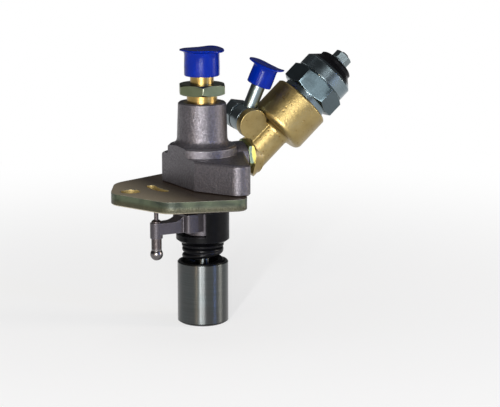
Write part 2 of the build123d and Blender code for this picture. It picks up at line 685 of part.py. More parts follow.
# Elbow: machined face on the stub, mitred neck, round-bottomed cup and the ear of the union
cup_floor_height = cup_bottom + cup_floor
passage_start = stub_grip_elbow / 2
with BuildPart() as elbow_body:
    with BuildSketch(Plane.YZ.offset(elbow_face)):
        with Locations((0, inlet_height)):
            Circle(elbow_stub_radius)
    extrude(amount=elbow_stub_length)
    with BuildSketch(neck_plane(elbow_neck_start)):
        Circle(elbow_neck_radius)
    extrude(amount=cup_bottom - elbow_neck_start)
    with BuildSketch(neck_section):
        with BuildLine():
            flare_root = (elbow_neck_radius, cup_bottom - 2.0)
            flare_out = (elbow_neck_radius + 2.0, cup_bottom)
            RadiusArc(flare_root, flare_out, 2.0)
            Line(flare_out, (cup_radius - cup_round, cup_bottom))
            RadiusArc((cup_radius - cup_round, cup_bottom), (cup_radius, cup_bottom + cup_round), -cup_round)
            Polyline((cup_radius, cup_bottom + cup_round), (cup_radius, cup_rim - 0.6), (cup_radius - 0.6, cup_rim),
                     (0, cup_rim), (0, cup_bottom - 2.0), flare_root)
        make_face()
    revolve(axis=neck_axis)
    with BuildSketch(Plane.YZ.offset(elbow_face)):
        with Locations((0, inlet_height)):
            Rectangle(4 * elbow_stub_radius, 4 * elbow_stub_radius)
    extrude(amount=-2 * elbow_stub_radius, mode=Mode.SUBTRACT)
    with BuildSketch(Plane(origin=ear_centre - back_dir * ear_thick, x_dir=neck_dir, z_dir=back_dir)):
        Circle(ear_radius)
        with Locations((0, ear_reach / 2)):
            Rectangle(2 * ear_radius - 3.0, ear_reach)
    extrude(amount=ear_thick)
    with BuildSketch(ear_plane):
        Circle(ear_spot_radius)
    extrude(amount=3 * ear_thick + banjo_width, mode=Mode.SUBTRACT)
    with BuildSketch(Plane.YZ.offset(elbow_face)):
        with Locations((0, inlet_height)):
            Circle(stub_thread_radius + thread_gap)
    extrude(amount=stub_grip_elbow, mode=Mode.SUBTRACT)
    with BuildSketch(neck_plane(passage_start)):
        Circle(fuel_bore)
    extrude(amount=cup_floor_height + valve_land_height - passage_start, mode=Mode.SUBTRACT)
    revolve(turned([(valve_land_radius, cup_floor_height), (cup_bore, cup_floor_height), (cup_bore, cup_rim),
                    (0, cup_rim), (0, cup_floor_height + valve_land_height),
                    (valve_land_radius - 0.4, cup_floor_height + valve_land_height)], neck_section),
            axis=neck_axis, mode=Mode.SUBTRACT)
    with BuildSketch(ear_plane):
        Circle(banjo_thread_radius + thread_gap)
    extrude(amount=-(ear_thick - 1.0), mode=Mode.SUBTRACT)
elbow_body.part.label = "elbow_body"
export_step(elbow_body.part, "parts/elbow_body.step")

# Banjo union: washers, eye with its nipple, hollow bolt and the nipple's transit cap
banjo_back = banjo_washer_thick + banjo_width
with BuildPart() as banjo_washers:
    for washer_start in (0, banjo_back):
        with BuildSketch(Plane(origin=ear_centre + back_dir * washer_start, x_dir=(1, 0, 0), z_dir=back_dir)):
            Circle(banjo_radius + 0.2)
            Circle(banjo_thread_radius + 0.1, mode=Mode.SUBTRACT)
        extrude(amount=banjo_washer_thick)
banjo_washers.part.label = "banjo_washers"
export_step(banjo_washers.part, "parts/banjo_washers.step")

eye_start = Plane(origin=ear_centre + back_dir * banjo_washer_thick, x_dir=(1, 0, 0), z_dir=back_dir)
with BuildPart() as banjo_eye:
    with BuildSketch(eye_start):
        Circle(banjo_radius)
    extrude(amount=banjo_width)
    chamfer(banjo_eye.edges().filter_by(GeomType.CIRCLE), 0.5)
    with BuildSketch(Plane(origin=banjo_middle, x_dir=back_dir, z_dir=nipple_dir)):
        Circle(nipple_radius - 0.1)
    extrude(amount=banjo_radius)
    with BuildSketch(eye_start):
        Circle(banjo_thread_radius + 0.1)
    extrude(amount=banjo_width, mode=Mode.SUBTRACT)
    with BuildSketch(eye_start.offset(banjo_width / 2 - 1.3)):
        Circle(banjo_thread_radius + 0.9)
    extrude(amount=2.6, mode=Mode.SUBTRACT)
    with BuildSketch(Plane(origin=banjo_middle, x_dir=back_dir, z_dir=nipple_dir)):
        Circle(nipple_bore)
    extrude(amount=banjo_radius + 2, mode=Mode.SUBTRACT)
banjo_eye.part.label = "banjo_eye"
export_step(banjo_eye.part, "parts/banjo_eye.step")

nipple_cap_start = banjo_radius + nipple_exposed
nipple_cap_end = nipple_cap_start + nipple_cap_length
with BuildPart() as inlet_nipple:
    nipple_end = nipple_cap_end - 1.6
    revolve(turned([(nipple_bore, banjo_radius), (nipple_radius, banjo_radius), (nipple_radius, nipple_end - 2.6),
                    (nipple_radius + 0.35, nipple_end - 1.8), (nipple_radius - 0.1, nipple_end - 0.2),
                    (nipple_bore + 0.2, nipple_end), (nipple_bore, nipple_end)], nipple_section), axis=nipple_axis)
inlet_nipple.part.label = "inlet_nipple"
export_step(inlet_nipple.part, "parts/inlet_nipple.step")

with BuildPart() as nipple_cap:
    cap_inner = nipple_radius + 0.35 + running_gap
    revolve(turned([(cap_inner, nipple_cap_start), (nipple_cap_radius, nipple_cap_start),
                    (nipple_cap_radius, nipple_cap_end - 0.5), (nipple_cap_radius + 0.5, nipple_cap_end),
                    (nipple_cap_flange_radius, nipple_cap_end),
                    (nipple_cap_flange_radius, nipple_cap_end + cap_flange_thick),
                    (0, nipple_cap_end + cap_flange_thick), (0, nipple_end + 0.5), (cap_inner, nipple_end + 0.5)],
                   nipple_section), axis=nipple_axis)
    fillet(nipple_cap.edges().filter_by(GeomType.CIRCLE).sort_by(SortBy.RADIUS)[-2:], 0.35)
nipple_cap.part.label = "nipple_cap"
export_step(nipple_cap.part, "parts/nipple_cap.step")

bolt_seat = banjo_back + banjo_washer_thick
with BuildPart() as hollow_bolt:
    bolt_tip = -(ear_thick - 1.4)
    with BuildSketch(ear_plane.offset(bolt_tip)):
        Circle(banjo_thread_radius)
    extrude(amount=bolt_seat - bolt_tip)
    with BuildSketch(ear_plane.offset(bolt_seat)):
        RegularPolygon(banjo_head_flats / 2, 6, major_radius=False, rotation=10)
    extrude(amount=banjo_head_height)
    with BuildSketch(ear_plane.offset(bolt_tip)):
        Circle(banjo_bolt_bore)
    extrude(amount=bolt_seat - 1 - bolt_tip, mode=Mode.SUBTRACT)
    with BuildSketch(Plane(origin=banjo_middle, x_dir=back_dir, z_dir=nipple_dir)):
        Circle(banjo_bolt_bore - 0.4)
    extrude(amount=banjo_radius, both=True, mode=Mode.SUBTRACT)
hollow_bolt.part.label = "hollow_bolt"
export_step(hollow_bolt.part, "parts/hollow_bolt.step")

# Solenoid: one turned and milled housing with the coil, pole and armature inside
crown_inner = crown_top - crown_roof
solenoid_ring = cup_rim - 2.1
with BuildPart() as solenoid_housing:
    nose_radius = cup_bore - thread_gap
    solenoid_groove = nose_radius - 2 * ring_wire - 0.1
    armature_bore = armature_radius + running_gap
    revolve(turned([(armature_bore, nose_tip), (nose_radius, nose_tip), (nose_radius, solenoid_ring),
                    (solenoid_groove, solenoid_ring), (solenoid_groove, solenoid_ring + ring_groove_width),
                    (nose_radius, solenoid_ring + ring_groove_width), (nose_radius, cup_rim),
                    (solenoid_collar_radius, cup_rim),
                    (solenoid_collar_radius, solenoid_hex_bottom), (crown_radius, solenoid_hex_bottom),
                    (crown_radius, crown_top - crown_chamfer), (crown_radius - crown_chamfer, crown_top),
                    (insulator_stem_radius + running_gap, crown_top), (insulator_stem_radius + running_gap, crown_inner),
                    (coil_chamber_radius, crown_inner), (coil_chamber_radius, coil_bottom),
                    (armature_bore, coil_bottom)], neck_section), axis=neck_axis)
    with BuildSketch(neck_plane(solenoid_hex_bottom)):
        RegularPolygon(solenoid_hex_flats / 2, 6, major_radius=False, rotation=solenoid_hex_turn)
        Circle(crown_radius - 1, mode=Mode.SUBTRACT)
    extrude(amount=solenoid_hex_top - solenoid_hex_bottom)
    revolve(corner_bevel(solenoid_hex_flats, solenoid_hex_top, -1, neck_section), axis=neck_axis,
            mode=Mode.SUBTRACT)
    revolve(corner_bevel(solenoid_hex_flats, solenoid_hex_bottom, 1, neck_section), axis=neck_axis,
            mode=Mode.SUBTRACT)
solenoid_housing.part.label = "solenoid_housing"
export_step(solenoid_housing.part, "parts/solenoid_housing.step")

with BuildPart() as solenoid_o_ring:
    with Locations(neck_plane(solenoid_ring + ring_groove_width / 2)):
        Torus(cup_bore - thread_gap - ring_wire - 0.05, ring_wire)
solenoid_o_ring.part.label = "solenoid_o_ring"
export_step(solenoid_o_ring.part, "parts/solenoid_o_ring.step")

coil_top = crown_inner - 0.4
with BuildPart() as solenoid_coil:
    with BuildSketch(neck_plane(coil_bottom)):
        Circle(coil_radius)
        Circle(armature_radius + 0.3, mode=Mode.SUBTRACT)
    extrude(amount=coil_top - coil_bottom)
solenoid_coil.part.label = "solenoid_coil"
export_step(solenoid_coil.part, "parts/solenoid_coil.step")

with BuildPart() as solenoid_core:
    core_top = crown_inner - 1.6
    revolve(turned([(2.1, core_bottom), (armature_radius, core_bottom), (armature_radius, core_top),
                    (0, core_top), (0, core_bottom + pocket_depth), (2.1, core_bottom + pocket_depth)],
                   neck_section), axis=neck_axis)
solenoid_core.part.label = "solenoid_core"
export_step(solenoid_core.part, "parts/solenoid_core.step")

pad_bottom = cup_floor_height + valve_land_height
armature_bottom = pad_bottom + seal_pad_thick
with BuildPart() as armature:
    revolve(turned([(0, armature_bottom), (seal_pad_radius + 0.6, armature_bottom),
                    (seal_pad_radius + 0.6, nose_tip - 0.6), (armature_radius, nose_tip + 0.4),
                    (armature_radius, armature_top), (2.1, armature_top), (2.1, armature_top - pocket_depth),
                    (0, armature_top - pocket_depth)], neck_section), axis=neck_axis)
armature.part.label = "armature"
export_step(armature.part, "parts/armature.step")

with BuildPart() as armature_seal:
    with BuildSketch(neck_plane(pad_bottom)):
        Circle(seal_pad_radius)
    extrude(amount=seal_pad_thick)
armature_seal.part.label = "armature_seal"
export_step(armature_seal.part, "parts/armature_seal.step")

armature_spring = coil_spring(1.9, 0.6, elbow_origin + neck_dir * (armature_top - pocket_depth),
                              2 * pocket_depth + core_bottom - armature_top - armature_travel - running_gap,
                              6.0, neck_dir)
armature_spring.label = "armature_spring"
export_step(armature_spring, "parts/armature_spring.step")

# Terminal: moulded insulator, stud, washer and nut
with BuildPart() as terminal_insulator:
    with BuildSketch(neck_section):
        with BuildLine():
            stud_side = terminal_radius + running_gap
            Polyline((stud_side, crown_inner + 0.2), (insulator_stem_radius, crown_inner + 0.2),
                     (insulator_stem_radius, crown_top), (insulator_radius, crown_top),
                     (insulator_radius, crown_top + insulator_wall))
            RadiusArc((insulator_radius, crown_top + insulator_wall), (insulator_land, insulator_top), -3.2)
            Polyline((insulator_land, insulator_top), (stud_side, insulator_top),
                     (stud_side, crown_inner + 0.2))
        make_face()
    revolve(axis=neck_axis)
terminal_insulator.part.label = "terminal_insulator"
export_step(terminal_insulator.part, "parts/terminal_insulator.step")

with BuildPart() as terminal_stud:
    stud_foot = core_top + 0.4
    revolve(turned([(0, stud_foot), (terminal_radius + 0.8, stud_foot), (terminal_radius + 0.8, crown_inner + 0.1),
                    (terminal_radius, crown_inner + 0.1), (terminal_radius, terminal_top - 0.5),
                    (terminal_radius - 0.5, terminal_top), (0, terminal_top)], neck_section), axis=neck_axis)
terminal_stud.part.label = "terminal_stud"
export_step(terminal_stud.part, "parts/terminal_stud.step")

with BuildPart() as terminal_washer:
    with BuildSketch(neck_plane(insulator_top)):
        Circle(terminal_washer_radius)
        Circle(terminal_radius + thread_gap, mode=Mode.SUBTRACT)
    extrude(amount=terminal_washer_thick)
terminal_washer.part.label = "terminal_washer"
export_step(terminal_washer.part, "parts/terminal_washer.step")

nut_start = insulator_top + terminal_washer_thick
with BuildPart() as terminal_nut:
    with BuildSketch(neck_plane(nut_start)):
        RegularPolygon(terminal_nut_flats / 2, 6, major_radius=False, rotation=solenoid_hex_turn)
        Circle(terminal_radius + thread_gap, mode=Mode.SUBTRACT)
    extrude(amount=terminal_nut_thick)
    revolve(corner_bevel(terminal_nut_flats, nut_start + terminal_nut_thick, -1, neck_section), axis=neck_axis,
            mode=Mode.SUBTRACT)
terminal_nut.part.label = "terminal_nut"
export_step(terminal_nut.part, "parts/terminal_nut.step")
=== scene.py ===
"""Looks of a single-cylinder diesel injection pump with a brass inlet elbow and a stop solenoid.

The CAD frame holds the pieces. This script gives each of them its real finish, makes the two soft transit caps, the
plunger's spring and the solenoid's housing in mesh code, and sets the floor, the lamps and the camera.
"""

import math

import bmesh
import bpy
from mathutils import Matrix, Vector


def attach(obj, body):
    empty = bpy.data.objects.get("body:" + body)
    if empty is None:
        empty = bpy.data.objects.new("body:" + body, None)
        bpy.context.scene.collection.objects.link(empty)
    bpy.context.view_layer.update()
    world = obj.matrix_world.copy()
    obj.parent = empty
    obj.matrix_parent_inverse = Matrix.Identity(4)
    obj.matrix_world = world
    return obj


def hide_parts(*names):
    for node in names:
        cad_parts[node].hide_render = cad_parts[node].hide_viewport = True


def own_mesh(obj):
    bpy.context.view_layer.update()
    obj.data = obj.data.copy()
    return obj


MM = 0.001

# The photograph's viewpoint in metres, and its lens in millimetres
CAMERA_PLACE = (-0.386, -0.682, 0.158)
CAMERA_AIM = (0.0175, -0.0105, -0.0038)
CAMERA_LENS = 133.9

# Places and directions of the CAD frame, in millimetres
PLATE_THICK = 5.0
# Reach and angle from the pump's axis, and radius that holds it, of each stud hole and of the stop slot
PLATE_OPENINGS = ((34.8, 180.0, 4.35), (34.8, 50.0, 4.35), (22.6, 180.0, 8.4))
# Painted light and shade on the plate's faces: dark brown from the casting out to the first X, turning palest beige
# by the second
PLATE_LIGHT_FADE = (-16.0, -36.0)
# Foot of the tappet, how far the tappet can rise, and the height of the lever's ball
TAPPET_FOOT = -55.8
BALL_CENTRE = -23.4
# The plunger's spring: its two ends, the radius of its turns and of its wire, and how many turns rise
SPRING_BASE = -49.9
SPRING_TOP = -22.1
SPRING_MEAN = 7.7
SPRING_WIRE = 1.3
SPRING_TURNS = 5
# The delivery holder's hexagon, and the threaded outlet above it
HEX_BOTTOM = 43.7
HEX_TOP = 48.3
OUTLET_START = 51.7
OUTLET_TOP = 60.6
OUTLET_PITCH = 1.5
# The elbow's turned face, the point where its neck's axis starts, that axis, and a direction square to it
ELBOW_FACE = 22.0
ELBOW_ORIGIN = Vector((23.0, 0.0, 14.2))
NECK_DIRECTION = Vector((0.70711, -0.14702, 0.69165))
SIDE_DIRECTION = Vector((-0.70711, -0.14702, 0.69165))
# The solenoid's hexagon: both ends along the neck's axis, width across flats, and degrees to its first corner
HOUSING_HEX = (36.9, 45.6)
HOUSING_FLATS = 23.2
HOUSING_TURN = 21.9
# The banjo eye's middle, the way its nipple points, and how far along it the nipple's cap starts
BANJO_MIDDLE = Vector((21.586, 0.570, 31.237))
NIPPLE_DIRECTION = Vector((0.31565, -0.19728, 0.92814))
NIPPLE_CAP_START = 15.9


def linear(code):
    """Linear colour of an sRGB hex code."""
    parts = [int(code[i:i + 2], 16) / 255 for i in (1, 3, 5)]
    return tuple(p / 12.92 if p <= 0.04045 else ((p + 0.055) / 1.055) ** 2.4 for p in parts) + (1.0,)


def per_metre(size_mm):
    """Texture scale at which one feature of the pattern is size_mm wide."""
    return 1.0 / (size_mm * MM)


def node(tree, kind, inputs=None, **settings):
    """Adds a node: settings are its properties, inputs its sockets' values or the outputs linked to them."""
    made = tree.nodes.new(kind)
    for name, value in settings.items():
        setattr(made, name, value)
    for name, value in (inputs or {}).items():
        if isinstance(value, bpy.types.NodeSocket):
            tree.links.new(value, made.inputs[name])
        else:
            made.inputs[name].default_value = value
    return made


def new_finish(name, constants):
    """Starts a finish: its material, node tree, shader and the place of the point in the part's frame."""
    material = bpy.data.materials.new(name)
    material.use_nodes = True
    tree = material.node_tree
    tree.nodes.clear()
    shader = node(tree, "ShaderNodeBsdfPrincipled", constants)
    node(tree, "ShaderNodeOutputMaterial", {"Surface": shader.outputs["BSDF"]})
    place = node(tree, "ShaderNodeTexCoord").outputs["Object"]
    return material, tree, shader, place


def edge_mask(tree, soft, flat_dot=0.995, edge_dot=0.93):
    """1 along the edges that the Bevel node soft rounds, 0 on open faces."""
    sharp = node(tree, "ShaderNodeNewGeometry")
    agree = node(tree, "ShaderNodeVectorMath", {0: soft.outputs["Normal"], 1: sharp.outputs["Normal"]},
                 operation="DOT_PRODUCT")
    mask = node(tree, "ShaderNodeMapRange", {"Value": agree.outputs["Value"], "From Min": flat_dot,
                                             "From Max": edge_dot, "To Min": 0.0, "To Max": 1.0})
    return mask.outputs["Result"]


def band_mask(tree, value, low, high, blur):
    """1 where value, in metres, lies between low and high, in millimetres, and falls to 0 within blur of them."""
    rise = node(tree, "ShaderNodeMapRange", {"Value": value, "From Min": (low - blur) * MM, "From Max": low * MM})
    fall = node(tree, "ShaderNodeMapRange", {"Value": value, "From Min": (high + blur) * MM, "From Max": high * MM})
    both = node(tree, "ShaderNodeMath", {0: rise.outputs["Result"], 1: fall.outputs["Result"]},
                operation="MULTIPLY")
    return both.outputs["Value"]


def blend_colours(tree, factor, first, second):
    """Colour between first and second, each a linear colour or a socket."""
    mixed = node(tree, "ShaderNodeMix", {0: factor, 6: first, 7: second}, data_type="RGBA")
    return mixed.outputs[2]


def sand_cast_iron():
    """Grey iron cast in green sand and phosphated: dull, faintly purple, with the sand's grain left in it."""
    material, tree, shader, place = new_finish("sand_cast_iron", {"Metallic": 0.75})
    sand = node(tree, "ShaderNodeTexNoise", {"Vector": place, "Scale": per_metre(0.9), "Detail": 5.0,
                                             "Roughness": 0.65})
    cloud = node(tree, "ShaderNodeTexNoise", {"Vector": place, "Scale": per_metre(7.0), "Detail": 3.0})
    pits = node(tree, "ShaderNodeTexVoronoi", {"Vector": place, "Scale": per_metre(1.6), "Randomness": 1.0})
    soft = node(tree, "ShaderNodeBevel", {"Radius": 0.45 * MM}, samples=6)
    grain = node(tree, "ShaderNodeMapRange", {"Value": sand.outputs[0], "From Min": 0.35, "From Max": 0.68})
    skin = blend_colours(tree, grain.outputs["Result"], linear("#444145"), linear("#706D72"))
    stained = blend_colours(tree, cloud.outputs[0], skin, linear("#4E4B4F"))
    edge = edge_mask(tree, soft)
    worn = blend_colours(tree, edge, stained, linear("#8C898E"))
    # A dark brown line along the joint with the plate
    rise = node(tree, "ShaderNodeSeparateXYZ", {0: place})
    seam = band_mask(tree, rise.outputs["Z"], PLATE_THICK - 0.2, PLATE_THICK + 0.45, 0.2)
    joint_lined = blend_colours(tree, seam, worn, linear("#2B1D17"))
    gloss = node(tree, "ShaderNodeMapRange", {"Value": sand.outputs[0], "From Min": 0.3, "From Max": 0.7,
                                              "To Min": 0.46, "To Max": 0.28})
    dents = node(tree, "ShaderNodeMapRange", {"Value": pits.outputs["Distance"], "From Min": 0.0,
                                              "From Max": 0.28})
    grit = node(tree, "ShaderNodeBump", {"Height": sand.outputs[0], "Distance": 0.22 * MM, "Strength": 1.0,
                                         "Normal": soft.outputs["Normal"]})
    relief = node(tree, "ShaderNodeBump", {"Height": dents.outputs["Result"], "Distance": 0.05 * MM,
                                           "Strength": 0.6, "Normal": grit.outputs["Normal"]})
    tree.links.new(joint_lined, shader.inputs["Base Color"])
    tree.links.new(gloss.outputs["Result"], shader.inputs["Roughness"])
    tree.links.new(relief.outputs["Normal"], shader.inputs["Normal"])
    return material


def yellow_zinc_plate():
    """Pressed steel, zinc plated and yellow passivated: mauve-brown faces, green and gold sheared edge."""
    material, tree, shader, place = new_finish("yellow_zinc_plate", {"Metallic": 0.5})
    axes = node(tree, "ShaderNodeSeparateXYZ", {0: place})
    facing = node(tree, "ShaderNodeSeparateXYZ", {0: node(tree, "ShaderNodeNewGeometry").outputs["Normal"]})
    film = node(tree, "ShaderNodeTexNoise", {"Vector": place, "Scale": per_metre(9.0), "Detail": 4.0,
                                             "Distortion": 0.6})
    rolled = node(tree, "ShaderNodeTexNoise", {"Vector": place, "Scale": per_metre(0.8), "Detail": 4.0})
    torn_place = node(tree, "ShaderNodeMapping", {"Vector": place, "Scale": (1.0, 1.0, 0.25)})
    torn = node(tree, "ShaderNodeTexNoise", {"Vector": torn_place.outputs[0], "Scale": per_metre(1.1),
                                             "Detail": 5.0, "Roughness": 0.7})
    soft = node(tree, "ShaderNodeBevel", {"Radius": 0.35 * MM}, samples=6)
    # Painted shade and painted light: the faces are dark brown by the casting and turn beige towards the lobes
    starts, thinnest = PLATE_LIGHT_FADE
    lit_towards_lobes = node(tree, "ShaderNodeMapRange", {"Value": axes.outputs["X"], "From Min": starts * MM,
                                                "From Max": thinnest * MM, "To Max": 0.85})
    dark_faces = blend_colours(tree, film.outputs[0], linear("#3E342C"), linear("#5C5145"))
    faces = blend_colours(tree, lit_towards_lobes.outputs["Result"], dark_faces, linear("#C2B498"))
    upright = node(tree, "ShaderNodeMath", {0: facing.outputs["Z"]}, operation="ABSOLUTE")
    side = node(tree, "ShaderNodeMapRange", {"Value": upright.outputs["Value"], "From Min": 0.75,
                                             "From Max": 0.35})
    tide = node(tree, "ShaderNodeMapRange", {"Value": film.outputs[0], "From Min": 0.35, "From Max": 0.62})
    green = blend_colours(tree, tide.outputs["Result"], linear("#222920"), linear("#464E3C"))
    sheared = band_mask(tree, axes.outputs["Z"], 0.0, 1.6, 1.4)
    gold_break = blend_colours(tree, torn.outputs[0], linear("#232318"), linear("#4A4833"))
    edge_tone = blend_colours(tree, sheared, green, gold_break)
    skin = blend_colours(tree, side.outputs["Result"], faces, edge_tone)
    hole_walls = None
    flat_place = node(tree, "ShaderNodeVectorMath", {0: place, 1: (1.0, 1.0, 0.0)}, operation="MULTIPLY")
    for reach, angle, radius in PLATE_OPENINGS:
        centre = Vector((math.cos(math.radians(angle)), math.sin(math.radians(angle)), 0)) * reach * MM
        span = node(tree, "ShaderNodeVectorMath", {0: flat_place.outputs["Vector"], 1: centre},
                    operation="DISTANCE")
        wall = band_mask(tree, span.outputs["Value"], 0.0, radius, 0.15)
        if hole_walls:
            wall = node(tree, "ShaderNodeMath", {0: hole_walls, 1: wall}, operation="MAXIMUM").outputs["Value"]
        hole_walls = wall
    inside = node(tree, "ShaderNodeMath", {0: hole_walls, 1: side.outputs["Result"]}, operation="MULTIPLY")
    gilded = blend_colours(tree, inside.outputs["Value"], skin, linear("#A08C58"))
    # Pale along the edges: wear, and a painted highlight where the rounded top edge catches the light
    edge = edge_mask(tree, soft)
    worn = blend_colours(tree, edge, gilded, linear("#86887A"))
    gloss = node(tree, "ShaderNodeMapRange", {"Value": rolled.outputs[0], "From Min": 0.3, "From Max": 0.7,
                                              "To Min": 0.34, "To Max": 0.5})
    rough_break = node(tree, "ShaderNodeMath", {0: torn.outputs[0], 1: sheared}, operation="MULTIPLY")
    tear = node(tree, "ShaderNodeBump", {"Height": rough_break.outputs["Value"], "Distance": 0.35 * MM,
                                         "Strength": 0.8, "Normal": soft.outputs["Normal"]})
    relief = node(tree, "ShaderNodeBump", {"Height": rolled.outputs[0], "Distance": 0.05 * MM,
                                           "Strength": 0.7, "Normal": tear.outputs["Normal"]})
    tree.links.new(worn, shader.inputs["Base Color"])
    tree.links.new(gloss.outputs["Result"], shader.inputs["Roughness"])
    tree.links.new(relief.outputs["Normal"], shader.inputs["Normal"])
    return material


def black_oxide():
    """Turned steel, blackened in hot salts and oiled: nearly black with a wet sheen."""
    material, tree, shader, place = new_finish("black_oxide", {"Metallic": 0.0, "Coat Weight": 0.06,
                                                               "Coat Roughness": 0.2, "Specular IOR Level": 0.06})
    mottle = node(tree, "ShaderNodeTexNoise", {"Vector": place, "Scale": per_metre(2.2), "Detail": 4.0})
    soft = node(tree, "ShaderNodeBevel", {"Radius": 0.3 * MM}, samples=6)
    skin = blend_colours(tree, mottle.outputs[0], linear("#020203"), linear("#070709"))
    worn = blend_colours(tree, edge_mask(tree, soft), skin, linear("#1E1E22"))
    gloss = node(tree, "ShaderNodeMapRange", {"Value": mottle.outputs[0], "From Min": 0.3, "From Max": 0.7,
                                              "To Min": 0.26, "To Max": 0.42})
    relief = node(tree, "ShaderNodeBump", {"Height": mottle.outputs[0], "Distance": 0.03 * MM, "Strength": 0.6,
                                           "Normal": soft.outputs["Normal"]})
    tree.links.new(worn, shader.inputs["Base Color"])
    tree.links.new(gloss.outputs["Result"], shader.inputs["Roughness"])
    tree.links.new(relief.outputs["Normal"], shader.inputs["Normal"])
    return material


def phosphated_lever():
    """Forged and milled steel, phosphated: dark grey with a mauve cast, paler where edges rub."""
    material, tree, shader, place = new_finish("phosphated_lever", {"Metallic": 0.6})
    crystals = node(tree, "ShaderNodeTexNoise", {"Vector": place, "Scale": per_metre(0.7), "Detail": 5.0,
                                                 "Roughness": 0.6})
    soft = node(tree, "ShaderNodeBevel", {"Radius": 0.4 * MM}, samples=6)
    skin = blend_colours(tree, crystals.outputs[0], linear("#312E32"), linear("#4F4B50"))
    worn = blend_colours(tree, edge_mask(tree, soft), skin, linear("#77737A"))
    relief = node(tree, "ShaderNodeBump", {"Height": crystals.outputs[0], "Distance": 0.06 * MM,
                                           "Strength": 0.7, "Normal": soft.outputs["Normal"]})
    shader.inputs["Roughness"].default_value = 0.42
    tree.links.new(worn, shader.inputs["Base Color"])
    tree.links.new(relief.outputs["Normal"], shader.inputs["Normal"])
    return material


def hardened_ball_pin():
    """Turned and hardened pin: a heat-darkened shank and a polished ball."""
    material, tree, shader, place = new_finish("hardened_ball_pin", {"Metallic": 1.0})
    axes = node(tree, "ShaderNodeSeparateXYZ", {0: place})
    ball = band_mask(tree, axes.outputs["Z"], BALL_CENTRE - 4.0, BALL_CENTRE + 2.2, 0.4)
    scale = node(tree, "ShaderNodeTexNoise", {"Vector": place, "Scale": per_metre(1.1), "Detail": 4.0})
    soft = node(tree, "ShaderNodeBevel", {"Radius": 0.25 * MM}, samples=6)
    shank = blend_colours(tree, scale.outputs[0], linear("#3A3536"), linear("#5F5858"))
    skin = blend_colours(tree, ball, shank, linear("#6E6B6C"))
    gloss = node(tree, "ShaderNodeMapRange", {"Value": ball, "To Min": 0.4, "To Max": 0.28})
    relief = node(tree, "ShaderNodeBump", {"Height": scale.outputs[0], "Distance": 0.03 * MM, "Strength": 0.4,
                                           "Normal": soft.outputs["Normal"]})
    tree.links.new(skin, shader.inputs["Base Color"])
    tree.links.new(gloss.outputs["Result"], shader.inputs["Roughness"])
    tree.links.new(relief.outputs["Normal"], shader.inputs["Normal"])
    return material


def ground_steel():
    """Hardened steel, cylindrically ground: fine rings round the axis draw each reflection into a tall streak."""
    material, tree, shader, place = new_finish("ground_steel", {"Metallic": 1.0, "Anisotropic": 0.85,
                                                                "Anisotropic Rotation": 0.25,
                                                                "Roughness": 0.3})
    # Grinding rings are about 0.05 mm apart, drawn at 0.35 mm so that they show
    ring_place = node(tree, "ShaderNodeMapping", {"Vector": place, "Scale": (0.02, 0.02, 1.0)})
    rings = node(tree, "ShaderNodeTexNoise", {"Vector": ring_place.outputs[0], "Scale": per_metre(0.35),
                                              "Detail": 3.0, "Roughness": 0.6})
    patches = node(tree, "ShaderNodeTexNoise", {"Vector": place, "Scale": per_metre(6.0), "Detail": 2.0})
    soft = node(tree, "ShaderNodeBevel", {"Radius": 0.25 * MM}, samples=6)
    skin = blend_colours(tree, rings.outputs[0], linear("#3F4545"), linear("#5F6667"))
    toned = blend_colours(tree, patches.outputs[0], skin, linear("#565554"))
    # The foot's rim is painted near black: painted shade on its chamfer
    rise = node(tree, "ShaderNodeSeparateXYZ", {0: place})
    foot = band_mask(tree, rise.outputs["Z"], TAPPET_FOOT - 1.0, TAPPET_FOOT + 0.9, 0.3)
    hardened = blend_colours(tree, foot, toned, linear("#161617"))
    relief = node(tree, "ShaderNodeBump", {"Height": rings.outputs[0], "Distance": 0.02 * MM, "Strength": 0.35,
                                           "Normal": soft.outputs["Normal"]})
    round_axis = node(tree, "ShaderNodeTangent", direction_type="RADIAL", axis="Z")
    tree.links.new(hardened, shader.inputs["Base Color"])
    tree.links.new(relief.outputs["Normal"], shader.inputs["Normal"])
    tree.links.new(round_axis.outputs["Tangent"], shader.inputs["Tangent"])
    return material


